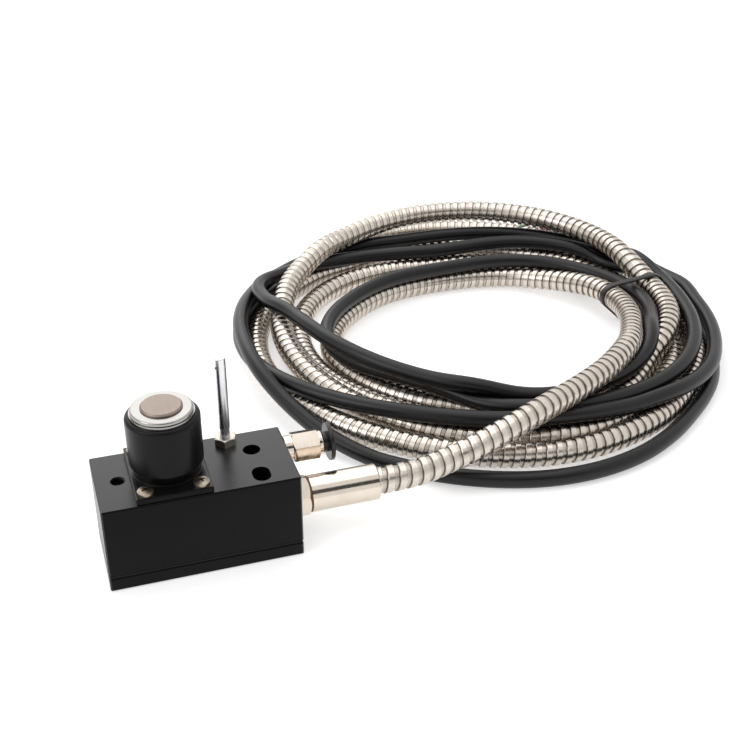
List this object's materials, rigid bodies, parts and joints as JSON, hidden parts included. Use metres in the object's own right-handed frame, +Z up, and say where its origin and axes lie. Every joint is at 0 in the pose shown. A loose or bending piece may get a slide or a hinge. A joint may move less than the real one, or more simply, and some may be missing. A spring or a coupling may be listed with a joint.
{
  "type": "tool setter",
  "caption": "Touch block for setting tool length, with a sprung round contact head, slim blow tube, push-in air fitting and an armoured lead laid in a coil.",
  "frame": {"origin": "middle of the base plate's underside", "axes": "+X along the block towards the gland and air fitting, +Y towards the blow tube's side, +Z up through the contact head"},
  "size_m": [0.3435, 0.2721, 0.076],
  "materials": {
    "black_anodised": "black anodised, satin",
    "black_sleeve": "black, turned and polished",
    "polished_steel": "polished",
    "hard_metal": "ground",
    "stainless_steel": "bright",
    "spring_steel": "drawn",
    "nickel_plate": "nickel plated",
    "chrome_tube": "polished",
    "bronze": "turned",
    "brass": "turned",
    "insulator": "moulded",
    "core_insulation": "extruded",
    "black_rubber": "moulded",
    "black_plastic": "moulded",
    "brown_gasket": "fibre",
    "hose_strip": "strip wound",
    "cord_mix": "steel strip hose and black cable",
    "tie_nylon": "moulded"
  },
  "bodies": {
    "housing": {"block": "black_anodised", "base_plate": "black_anodised", "base_gasket": "black_rubber", "base_screws": "stainless_steel", "vent_plug": "stainless_steel", "head_base": "black_anodised", "flange_screws": "stainless_steel", "guide_bush": "bronze", "wiper_ring": "black_rubber", "return_spring": "spring_steel", "contact_carrier": "insulator", "contact_pins": "brass", "carrier_screws": "stainless_steel", "core_leads": "core_insulation", "tube_bush": "nickel_plate", "blow_tube": "chrome_tube", "air_fitting": "nickel_plate", "air_washer": "black_plastic", "tube_seal": "black_rubber", "tube_gripper": "spring_steel", "gland_nut": "nickel_plate", "gland_gasket": "brown_gasket", "gland_sleeve": "nickel_plate", "hose_lead": "hose_strip", "cord_coil": "cord_mix", "cable_tie": "tie_nylon"},
    "contact_head": {"head_sleeve": "black_sleeve", "cap_ring": "polished_steel", "contact_disc": "hard_metal", "plunger_shaft": "stainless_steel", "contact_bridge": "brass", "bridge_screw": "stainless_steel"},
    "release": {"release_ring": "black_plastic"}
  },
  "joints": [
    {"name": "head_press", "type": "slide", "parent": "housing", "child": "contact_head", "axis": [0, 0, -1], "range_m": [0, 0.0035], "stiffness_N_per_m": 900, "springref_m": -0.004, "deforming": ["return_spring"]},
    {"name": "release_press", "type": "slide", "parent": "housing", "child": "release", "axis": [-1, 0, 0], "range_m": [0, 0.0012], "stiffness_N_per_m": 1500, "springref_m": -0.0008}
  ]
}
